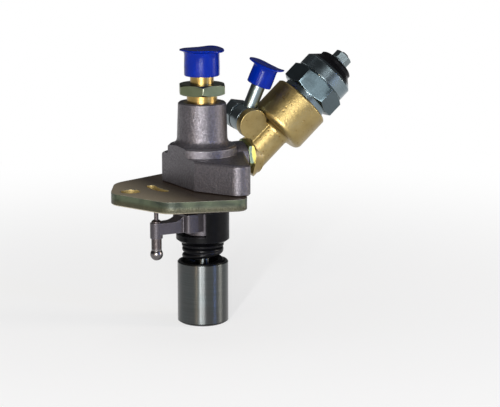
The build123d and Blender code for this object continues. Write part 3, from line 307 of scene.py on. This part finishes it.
def zinc_holder():
    """Turned hexagon steel, zinc plated: green-yellow passivate on the flats, gold on the turned necks."""
    material, tree, shader, place = new_finish("zinc_holder", {"Metallic": 1.0})
    axes = node(tree, "ShaderNodeSeparateXYZ", {0: place})
    film = node(tree, "ShaderNodeTexNoise", {"Vector": place, "Scale": per_metre(5.0), "Detail": 3.0,
                                             "Distortion": 0.8})
    turning_place = node(tree, "ShaderNodeMapping", {"Vector": place, "Scale": (0.03, 0.03, 1.0)})
    turning = node(tree, "ShaderNodeTexNoise", {"Vector": turning_place.outputs[0], "Scale": per_metre(0.3),
                                                "Detail": 2.0})
    soft = node(tree, "ShaderNodeBevel", {"Radius": 0.3 * MM}, samples=6)
    flats = blend_colours(tree, film.outputs[0], linear("#535C46"), linear("#71775F"))
    hexagon = band_mask(tree, axes.outputs["Z"], HEX_BOTTOM, HEX_TOP, 0.2)
    necks = blend_colours(tree, turning.outputs[0], linear("#7A6434"), linear("#AE935A"))
    skin = blend_colours(tree, hexagon, necks, flats)
    worn = blend_colours(tree, edge_mask(tree, soft), skin, linear("#A6A894"))
    # The outlet's M12 thread, as a helical ridge in the normals
    turn = node(tree, "ShaderNodeMath", {0: axes.outputs["Y"], 1: axes.outputs["X"]}, operation="ARCTAN2")
    lead = node(tree, "ShaderNodeMath", {0: turn.outputs["Value"], 1: OUTLET_PITCH * MM / (2 * math.pi)},
                operation="MULTIPLY")
    along = node(tree, "ShaderNodeMath", {0: axes.outputs["Z"], 1: lead.outputs["Value"]}, operation="SUBTRACT")
    ridge = node(tree, "ShaderNodeMath", {0: along.outputs["Value"], 1: OUTLET_PITCH / 2 * MM},
                 operation="PINGPONG")
    threaded = band_mask(tree, axes.outputs["Z"], OUTLET_START + 0.8, OUTLET_TOP - 0.9, 0.3)
    thread = node(tree, "ShaderNodeMath", {0: ridge.outputs["Value"], 1: threaded}, operation="MULTIPLY")
    cut = node(tree, "ShaderNodeBump", {"Height": thread.outputs["Value"], "Distance": 1.0, "Strength": 1.0,
                                        "Normal": soft.outputs["Normal"]})
    relief = node(tree, "ShaderNodeBump", {"Height": turning.outputs[0], "Distance": 0.03 * MM, "Strength": 0.5,
                                           "Normal": cut.outputs["Normal"]})
    shader.inputs["Roughness"].default_value = 0.3
    tree.links.new(worn, shader.inputs["Base Color"])
    tree.links.new(relief.outputs["Normal"], shader.inputs["Normal"])
    return material


def cast_brass():
    """Brass die casting, tumbled: satin skin with small gas pits, bright where the face and rim are turned."""
    material, tree, shader, place = new_finish("cast_brass", {"Metallic": 1.0, "Coat Weight": 0.35,
                                                              "Coat Roughness": 0.36})
    axes = node(tree, "ShaderNodeSeparateXYZ", {0: place})
    cloud = node(tree, "ShaderNodeTexNoise", {"Vector": place, "Scale": per_metre(5.0), "Detail": 4.0})
    peen = node(tree, "ShaderNodeTexNoise", {"Vector": place, "Scale": per_metre(0.8), "Detail": 4.0})
    pits = node(tree, "ShaderNodeTexVoronoi", {"Vector": place, "Scale": per_metre(2.4), "Randomness": 1.0})
    hole = node(tree, "ShaderNodeMapRange", {"Value": pits.outputs["Distance"], "From Min": 0.08,
                                             "From Max": 0.2})
    soft = node(tree, "ShaderNodeBevel", {"Radius": 0.5 * MM}, samples=6)
    skin = blend_colours(tree, cloud.outputs[0], linear("#7E6A39"), linear("#AB9866"))
    pitted = blend_colours(tree, hole.outputs["Result"], linear("#7C6332"), skin)
    facing = node(tree, "ShaderNodeSeparateXYZ", {0: node(tree, "ShaderNodeNewGeometry").outputs["Normal"]})
    at_face = band_mask(tree, axes.outputs["X"], ELBOW_FACE - 0.5, ELBOW_FACE + 0.06, 0.05)
    back_on = node(tree, "ShaderNodeMapRange", {"Value": facing.outputs["X"], "From Min": -0.8, "From Max": -0.95})
    turned_face = node(tree, "ShaderNodeMath", {0: at_face, 1: back_on.outputs["Result"]},
                       operation="MULTIPLY").outputs["Value"]
    bright = blend_colours(tree, turned_face, pitted, linear("#D6BE86"))
    worn = blend_colours(tree, edge_mask(tree, soft), bright, linear("#B4A068"))
    satin = node(tree, "ShaderNodeMapRange", {"Value": peen.outputs[0], "From Min": 0.3, "From Max": 0.7,
                                              "To Min": 0.36, "To Max": 0.48})
    hammered = node(tree, "ShaderNodeBump", {"Height": peen.outputs[0], "Distance": 0.09 * MM, "Strength": 0.8,
                                             "Normal": soft.outputs["Normal"]})
    relief = node(tree, "ShaderNodeBump", {"Height": hole.outputs["Result"], "Distance": 0.08 * MM,
                                           "Strength": 0.7, "Normal": hammered.outputs["Normal"]})
    tree.links.new(worn, shader.inputs["Base Color"])
    tree.links.new(satin.outputs["Result"], shader.inputs["Roughness"])
    tree.links.new(relief.outputs["Normal"], shader.inputs["Normal"])
    return material


def blue_zinc(name, axis, ring_mm, dark, light, smooth=0.28):
    """Turned steel, zinc plated and clear passivated: pale blue-grey, with tool rings square to axis.

    ring_mm is the rings' spacing, and smooth the roughness where the film is thinnest.
    """
    material, tree, shader, place = new_finish(name, {"Metallic": 1.0})
    height = node(tree, "ShaderNodeVectorMath", {0: place, 1: axis}, operation="DOT_PRODUCT")
    rings = node(tree, "ShaderNodeTexNoise", {"W": height.outputs["Value"], "Scale": per_metre(ring_mm),
                                              "Detail": 2.0}, noise_dimensions="1D")
    film = node(tree, "ShaderNodeTexNoise", {"Vector": place, "Scale": per_metre(6.0), "Detail": 3.0,
                                             "Distortion": 0.7})
    soft = node(tree, "ShaderNodeBevel", {"Radius": 0.2 * MM}, samples=6)
    skin = blend_colours(tree, film.outputs[0], linear(dark), linear(light))
    ringed = blend_colours(tree, rings.outputs[0], skin, linear(light))
    worn = blend_colours(tree, edge_mask(tree, soft), ringed, linear("#8E999C"))
    gloss = node(tree, "ShaderNodeMapRange", {"Value": film.outputs[0], "From Min": 0.3, "From Max": 0.7,
                                              "To Min": smooth, "To Max": smooth + 0.08})
    relief = node(tree, "ShaderNodeBump", {"Height": rings.outputs[0], "Distance": 0.012 * MM, "Strength": 0.4,
                                           "Normal": soft.outputs["Normal"]})
    tree.links.new(worn, shader.inputs["Base Color"])
    tree.links.new(gloss.outputs["Result"], shader.inputs["Roughness"])
    tree.links.new(relief.outputs["Normal"], shader.inputs["Normal"])
    return material


def blue_polyethylene():
    """Soft polyethylene, injection moulded: deep blue, waxy gloss, light goes a little way in."""
    material, tree, shader, place = new_finish("blue_polyethylene", {
        "Metallic": 0.0, "IOR": 1.51, "Specular IOR Level": 0.12, "Subsurface Weight": 0.05,
        "Subsurface Radius": (0.2, 0.3, 1.0), "Subsurface Scale": 1.2 * MM})
    flow = node(tree, "ShaderNodeTexNoise", {"Vector": place, "Scale": per_metre(4.0), "Detail": 3.0})
    skin = blend_colours(tree, flow.outputs[0], linear("#001464"), linear("#001E7E"))
    gloss = node(tree, "ShaderNodeMapRange", {"Value": flow.outputs[0], "From Min": 0.3, "From Max": 0.7,
                                              "To Min": 0.18, "To Max": 0.28})
    relief = node(tree, "ShaderNodeBump", {"Height": flow.outputs[0], "Distance": 0.12 * MM, "Strength": 0.5})
    tree.links.new(skin, shader.inputs["Base Color"])
    tree.links.new(gloss.outputs["Result"], shader.inputs["Roughness"])
    tree.links.new(relief.outputs["Normal"], shader.inputs["Normal"])
    return material


def moulded_black(name, pale, roughness):
    """Black rubber or phenolic from a textured mould: deep black, soft highlight."""
    material, tree, shader, place = new_finish(name, {"Metallic": 0.0, "Roughness": roughness,
                                                   "Specular IOR Level": 0.14})
    grain = node(tree, "ShaderNodeTexNoise", {"Vector": place, "Scale": per_metre(0.9), "Detail": 3.0})
    skin = blend_colours(tree, grain.outputs[0], linear("#040405"), linear(pale))
    relief = node(tree, "ShaderNodeBump", {"Height": grain.outputs[0], "Distance": 0.05 * MM, "Strength": 0.5})
    tree.links.new(skin, shader.inputs["Base Color"])
    tree.links.new(relief.outputs["Normal"], shader.inputs["Normal"])
    return material


def plain_metal(name, dark, light, roughness, grain_mm):
    """Turned or drawn metal of one colour with its tool marks: the lock nut, gasket, coil, core, stud and springs."""
    material, tree, shader, place = new_finish(name, {"Metallic": 1.0, "Roughness": roughness})
    marks = node(tree, "ShaderNodeTexNoise", {"Vector": place, "Scale": per_metre(grain_mm), "Detail": 4.0})
    soft = node(tree, "ShaderNodeBevel", {"Radius": 0.2 * MM}, samples=6)
    skin = blend_colours(tree, marks.outputs[0], linear(dark), linear(light))
    relief = node(tree, "ShaderNodeBump", {"Height": marks.outputs[0], "Distance": 0.03 * MM, "Strength": 0.5,
                                           "Normal": soft.outputs["Normal"]})
    tree.links.new(skin, shader.inputs["Base Color"])
    tree.links.new(relief.outputs["Normal"], shader.inputs["Normal"])
    return material


def lathe(name, rings, foot, turned_to, place_of, finish, start=0.0, steps=96):
    """Closed mesh from foot, its Z turned by the matrix turned_to, with steps points round each ring.

    A ring is a (radius, height) pair in millimetres, and one of radius 0 is a single point. The last ring joins the
    first. place_of gives the radius and height that a ring has at an angle, and start is the first point's angle.
    """
    mesh = bmesh.new()
    columns = []
    for radius, rise in rings:
        if radius == 0.0:
            columns.append([mesh.verts.new((0, 0, rise * MM))] * steps)
            continue
        column = []
        for step in range(steps):
            angle = 2 * math.pi * step / steps + start
            reach, height = place_of(radius, rise, angle)
            column.append(mesh.verts.new((reach * MM * math.cos(angle), reach * MM * math.sin(angle), height * MM)))
        columns.append(column)
    for lower, upper in zip(columns, columns[1:] + columns[:1]):
        for step in range(steps):
            after = (step + 1) % steps
            corners = []
            for vert in (lower[step], lower[after], upper[after], upper[step]):
                if vert not in corners:
                    corners.append(vert)
            if len(corners) > 2:
                mesh.faces.new(corners)
    bmesh.ops.recalc_face_normals(mesh, faces=mesh.faces)
    data = bpy.data.meshes.new(name)
    mesh.transform(Matrix.Translation(foot * MM) @ turned_to.to_4x4())
    mesh.to_mesh(data)
    mesh.free()
    for face in data.polygons:
        face.use_smooth = True
    data.set_sharp_from_angle(angle=math.radians(25))
    data.materials.append(finish)
    turned = bpy.data.objects.new(name, data)
    bpy.context.scene.collection.objects.link(turned)
    return turned


def transit_cap(name, foot, axis, bore, outer, depth, flange, height, waves, finish):
    """Moulded push-on cap: a blind sleeve whose thin flange has taken a wave in the mould and in handling.

    Lengths are in millimetres: bore, outer and flange are radii, depth is the bore's and height the cap's. waves
    lists (lobes, millimetres, angle in degrees) for the flange's rim.
    """
    lip = 0.9
    # From the mouth up the outside, over the flange's rim, across the top, then back down the bore
    rings = [
        (bore, 0.0), (outer - 0.25, 0.0), (outer, 0.3), (outer + 0.05, height * 0.35),
        (outer - 0.05, height * 0.7), (outer, height - lip - 0.9), (outer + 0.3, height - lip - 0.25),
        (outer + 0.9, height - lip), (flange - 0.5, height - lip + 0.12), (flange - 0.08, height - lip + 0.25),
        (flange, height - lip * 0.5), (flange - 0.12, height - 0.1), (flange - 0.6, height),
        (outer + 0.3, height - 0.05), (outer - 0.6, height - 0.02), (outer * 0.6, height - 0.3),
        (outer * 0.3, height - 0.42), (0.0, height - 0.45),
        (0.0, depth), (bore - 0.5, depth), (bore, depth - 0.5),
    ]

    def waved(radius, rise, angle):
        reach = max(0.0, (radius - outer) / (flange - outer))
        lift = sum(size * math.sin(lobes * angle + math.radians(start)) for lobes, size, start in waves)
        return radius, rise + lift * reach ** 1.5

    return lathe(name, rings, foot, axis.to_track_quat("Z", "Y").to_matrix(), waved, finish)


def solenoid_shell(flats, turned, shoulder_black):
    """The solenoid's housing, turned from hexagon bar: whole flats with bevelled ends, and a round crown above.

    The crown's shoulder is given the black phenolic finish.
    """
    low, high = HOUSING_HEX
    # Radius at which the bevel leaves each end of the hexagon, how far it widens per millimetre along the axis, and
    # the steps in from each end at which it is drawn
    bevel_start = HOUSING_FLATS / 2 - 0.17
    bevel_slope = 2.0
    ends = [0.0, 0.08, 0.2, 0.35, 0.5, 0.65, 0.8, 0.95, 1.1]
    shoulder = 52.4
    # The spigot in the elbow's cup with its O-ring groove, then the collar above it
    spigot = [(5.05, 26.0), (8.95, 26.0), (8.95, 32.3), (7.45, 32.3), (7.45, 34.1), (8.95, 34.1), (8.95, 34.4)]
    collar = [(10.6, 34.4), (10.6, low)]
    # A radius of HOUSING_FLATS marks the hexagon's rings, which milled() brings down to the flats
    hexagon = [(HOUSING_FLATS, low + step) for step in ends] + [(HOUSING_FLATS, high - step) for step in ends[::-1]]
    crown = [(11.9, high + 0.3), (11.9, 51.2), (10.7, shoulder), (8.1, 55.0)]
    # The terminal's hole and the coil's chamber, from the crown back down to the spigot's bore
    chamber = [(3.45, 55.0), (3.45, 52.0), (9.6, 52.0), (9.6, 38.8), (5.05, 38.8)]
    rings = spigot + collar + hexagon + crown + chamber

    def milled(radius, height, angle):
        if radius != HOUSING_FLATS:
            return radius, height
        from_corner = (math.degrees(angle) - HOUSING_TURN) % 60.0
        flat = HOUSING_FLATS / 2 / math.cos(math.radians(from_corner - 30.0))
        return min(flat, bevel_start + bevel_slope * min(height - low, high - height)), height

    stand = Matrix((SIDE_DIRECTION, NECK_DIRECTION.cross(SIDE_DIRECTION), NECK_DIRECTION)).transposed()
    shell = lathe("solenoid_shell", rings, ELBOW_ORIGIN, stand, milled, flats, math.radians(HOUSING_TURN), 144)
    shell.data.materials.append(turned)
    shell.data.materials.append(shoulder_black)
    # Faces off the hexagon take the crown's lighter zinc, which is painted light
    for face in shell.data.polygons:
        along = (face.center / MM - ELBOW_ORIGIN).dot(NECK_DIRECTION)
        if not low < along < high:
            face.material_index = 1
        if along > shoulder and face.normal.dot(NECK_DIRECTION) > 0.1:
            face.material_index = 2
    return shell


def plunger_spring(finish):
    """The plunger's spring, coiled from one wire: a flat closing turn at each end and the rising turns between."""
    mesh = bmesh.new()
    low, high = SPRING_BASE + SPRING_WIRE, SPRING_TOP - SPRING_WIRE
    pitch = (high - low) / SPRING_TURNS
    per_turn, sides = 48, 16
    loops = []
    for step in range((SPRING_TURNS + 2) * per_turn + 1):
        turn = step / per_turn - 1.0
        angle = 2 * math.pi * turn
        rising = 0.0 <= turn <= SPRING_TURNS
        centre_height = low + pitch * min(max(turn, 0.0), SPRING_TURNS)
        slope = pitch / (2 * math.pi) if rising else 0.0
        outward = Vector((math.cos(angle), math.sin(angle), 0.0))
        ahead = Vector((-SPRING_MEAN * math.sin(angle), SPRING_MEAN * math.cos(angle), slope)).normalized()
        upward = outward.cross(ahead)
        middle = outward * SPRING_MEAN + Vector((0.0, 0.0, centre_height))
        loop = []
        for side in range(sides):
            around = 2 * math.pi * side / sides
            point = middle + (outward * math.cos(around) + upward * math.sin(around)) * SPRING_WIRE
            loop.append(mesh.verts.new(point * MM))
        loops.append(loop)
    for lower, upper in zip(loops, loops[1:]):
        for side in range(sides):
            after = (side + 1) % sides
            mesh.faces.new((lower[side], lower[after], upper[after], upper[side]))
    mesh.faces.new(loops[0])
    mesh.faces.new(loops[-1])
    bmesh.ops.recalc_face_normals(mesh, faces=mesh.faces)
    data = bpy.data.meshes.new("plunger_coil")
    mesh.to_mesh(data)
    mesh.free()
    for face in data.polygons:
        face.use_smooth = len(face.vertices) == 4
    data.materials.append(finish)
    coil = bpy.data.objects.new("plunger_coil", data)
    bpy.context.scene.collection.objects.link(coil)
    return coil


def pale_floor(height_mm):
    """Plain pale studio floor: it takes the shadow near the part and runs out to white.

    The white is for the camera and for reflections only, so that the floor lights the part as paper does.
    """
    data = bpy.data.meshes.new("floor")
    # Metres: half the floor's width, and how far from the middle it starts to turn white and is all white
    half, fade_start, fade_end = 4.0, 0.06, 0.4
    z = height_mm * MM
    data.from_pydata([(-half, -half, z), (half, -half, z), (half, half, z), (-half, half, z)], [], [(0, 1, 2, 3)])
    material = bpy.data.materials.new("pale_floor")
    material.use_nodes = True
    tree = material.node_tree
    tree.nodes.clear()
    place = node(tree, "ShaderNodeTexCoord").outputs["Object"]
    away = node(tree, "ShaderNodeVectorMath", {0: place}, operation="LENGTH")
    far = node(tree, "ShaderNodeMapRange", {"Value": away.outputs["Value"], "From Min": fade_start,
                                           "From Max": fade_end, "To Min": 0.66, "To Max": 1.0},
               interpolation_type="SMOOTHSTEP")
    rays = node(tree, "ShaderNodeLightPath")
    seen = node(tree, "ShaderNodeMath", {0: rays.outputs["Is Camera Ray"], 1: rays.outputs["Is Glossy Ray"]},
                operation="MAXIMUM")
    looked = node(tree, "ShaderNodeMath", {0: seen.outputs["Value"], 1: rays.outputs["Is Transmission Ray"]},
                  operation="MAXIMUM")
    white_part = node(tree, "ShaderNodeMath", {0: far.outputs["Result"], 1: looked.outputs["Value"]},
                      operation="MULTIPLY")
    paper = node(tree, "ShaderNodeBsdfDiffuse", {"Color": linear("#F6F6F5")})
    white = node(tree, "ShaderNodeEmission", {"Color": linear("#FFFFFF"), "Strength": 1.0})
    both = node(tree, "ShaderNodeMixShader", {0: white_part.outputs["Value"], 1: paper.outputs[0],
                                              2: white.outputs[0]})
    node(tree, "ShaderNodeOutputMaterial", {"Surface": both.outputs[0]})
    data.materials.append(material)
    floor = bpy.data.objects.new("floor", data)
    bpy.context.scene.collection.objects.link(floor)


def lamp(name, place, width, height, watts, colour):
    """Soft box at place, facing the pump. Its place, width and height are in metres."""
    light = bpy.data.lights.new(name, "AREA")
    light.shape = "RECTANGLE"
    light.size = width
    light.size_y = height
    light.energy = watts
    light.color = linear(colour)[:3]
    box = bpy.data.objects.new(name, light)
    box.location = place
    box.rotation_euler = (Vector((0, 0, 0)) - Vector(place)).to_track_quat("-Z", "Y").to_euler()
    bpy.context.scene.collection.objects.link(box)


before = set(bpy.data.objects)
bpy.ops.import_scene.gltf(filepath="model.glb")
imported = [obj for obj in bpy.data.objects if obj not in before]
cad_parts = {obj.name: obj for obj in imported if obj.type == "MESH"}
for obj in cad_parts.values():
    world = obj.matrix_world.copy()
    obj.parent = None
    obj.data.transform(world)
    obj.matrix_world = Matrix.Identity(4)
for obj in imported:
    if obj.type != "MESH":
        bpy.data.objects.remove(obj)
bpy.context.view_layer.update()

# Finishes, and the CAD nodes that wear them: the pieces made in mesh code get theirs further down
iron = sand_cast_iron()
plate = yellow_zinc_plate()
blackened = black_oxide()
phosphated = phosphated_lever()
ball_pin = hardened_ball_pin()
ground = ground_steel()
holder_zinc = zinc_holder()
brass = cast_brass()
# The solenoid's hexagon and crown share one zinc: the flats' copy is darkened as painted shade and the crown's copy
# lightened as painted light
hexagon_zinc_shaded = blue_zinc("blue_zinc_hexagon_shaded", NECK_DIRECTION, ring_mm=0.45, dark="#363F43", light="#55646A")
crown_zinc_lit = blue_zinc("blue_zinc_crown_lit", NECK_DIRECTION, ring_mm=0.45, dark="#586468", light="#818F95", smooth=0.2)
union_zinc = blue_zinc("blue_zinc_union", NIPPLE_DIRECTION, ring_mm=0.4, dark="#566266", light="#7E898C")
polyethylene = blue_polyethylene()
rubber = moulded_black("nitrile_rubber", pale="#17171A", roughness=0.5)
phenolic = moulded_black("phenolic_insulator", pale="#0B0B0D", roughness=0.26)
copper = plain_metal("annealed_copper", "#8E4F2C", "#C07A4E", roughness=0.38, grain_mm=1.2)
nut_zinc = plain_metal("yellow_zinc_nut", "#7C8658", "#A9AE80", roughness=0.32, grain_mm=1.5)
soft_iron = plain_metal("soft_iron", "#6E6E72", "#96969A", roughness=0.36, grain_mm=0.8)
spring_steel = plain_metal("spring_steel", "#55575C", "#7D8086", roughness=0.3, grain_mm=0.9)
FINISHES = {
    iron: ["pump_body"],
    plate: ["mounting_flange"],
    blackened: ["guide_sleeve", "upper_spring_seat", "lower_spring_seat"],
    phosphated: ["control_lever"],
    ball_pin: ["lever_ball_pin"],
    ground: ["tappet", "tappet_shim", "plunger", "barrel", "barrel_locating_pin", "delivery_valve_seat",
             "delivery_valve"],
    holder_zinc: ["delivery_valve_holder"],
    brass: ["elbow_body"],
    nut_zinc: ["inlet_lock_nut"],
    union_zinc: ["banjo_eye", "banjo_washers", "inlet_nipple", "hollow_bolt", "terminal_washer", "terminal_nut",
                 "inlet_stub"],
    rubber: ["holder_o_ring", "solenoid_o_ring", "armature_seal"],
    phenolic: ["terminal_insulator"],
    copper: ["delivery_gasket", "solenoid_coil"],
    soft_iron: ["solenoid_core", "armature", "terminal_stud"],
    spring_steel: ["delivery_valve_spring", "armature_spring"],
}
for finish, names in FINISHES.items():
    for name in names:
        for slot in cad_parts[name].material_slots:
            slot.material = finish

# Transit caps: on the high-pressure outlet and on the fuel nipple
outlet_cap = transit_cap("outlet_transit_cap", Vector((0, 0, OUTLET_START)),
                         Vector((0, 0, 1)), bore=6.05, outer=7.55, depth=9.5, flange=9.55, height=11.3,
                         waves=[(2, 0.35, 40.0), (3, 0.22, 200.0), (5, 0.1, 75.0)], finish=polyethylene)
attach(outlet_cap, "outlet_cap")
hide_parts("outlet_cap")
nipple_cap = transit_cap("nipple_transit_cap", BANJO_MIDDLE + NIPPLE_DIRECTION * NIPPLE_CAP_START,
                         NIPPLE_DIRECTION, bore=3.5, outer=5.4, depth=7.6, flange=8.0, height=9.6,
                         waves=[(2, 0.4, 310.0), (3, 0.25, 20.0), (4, 0.1, 75.0)], finish=polyethylene)
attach(nipple_cap, "nipple_cap")
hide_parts("nipple_cap")

# The solenoid's housing with whole flats, because the plain solid's crown stands a little proud of them
housing = solenoid_shell(hexagon_zinc_shaded, crown_zinc_lit, phenolic)
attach(housing, "root")
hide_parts("solenoid_housing")

# On the pump the plunger's spring shortens towards the upper seat as the cam lifts the tappet; here the coil is
# attached to the tappet's group, with a mesh of its own
coil = plunger_spring(blackened)
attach(coil, "tappet_group")
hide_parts("plunger_spring")
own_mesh(coil)

# Studio: pale floor, one soft main light behind the camera, narrow strips that draw the streaks on turned metal, a
# soft box to the right and a weak one overhead
pale_floor(TAPPET_FOOT)
lamp("main_box", (-0.54, -0.98, 0.14), width=0.24, height=0.4, watts=9.0, colour="#FFFFFF")
lamp("streak_strip", (-0.68, -0.78, 0.1), width=0.03, height=0.7, watts=14.0, colour="#FFFFFF")
lamp("beige_strip", (-0.92, -0.56, 0.1), width=0.07, height=0.6, watts=2.4, colour="#FFE0B8")
lamp("sky_strip", (0.44, -0.94, 0.1), width=0.05, height=0.6, watts=2.4, colour="#7FA6FF")
lamp("right_box", (0.88, -0.62, 0.08), width=0.3, height=0.7, watts=9.0, colour="#FFF6EA")
lamp("overhead_box", (0.0, 0.2, 1.2), width=0.9, height=0.9, watts=2.0, colour="#FFFFFF")
# Weak grey light from all round, so that no side of the pump is black
world = bpy.data.worlds.new("studio")
world.use_nodes = True
world.node_tree.nodes["Background"].inputs["Color"].default_value = linear("#DADADD")
world.node_tree.nodes["Background"].inputs["Strength"].default_value = 0.1
bpy.context.scene.world = world
bpy.context.scene.view_settings.view_transform = "Standard"

camera_data = bpy.data.cameras.new("camera")
camera_data.lens = CAMERA_LENS
camera_data.clip_start = 0.01
camera = bpy.data.objects.new("camera", camera_data)
camera.location = CAMERA_PLACE
camera.rotation_euler = (Vector(CAMERA_AIM) - Vector(CAMERA_PLACE)).to_track_quat("-Z", "Y").to_euler()
bpy.context.scene.collection.objects.link(camera)
bpy.context.scene.camera = camera
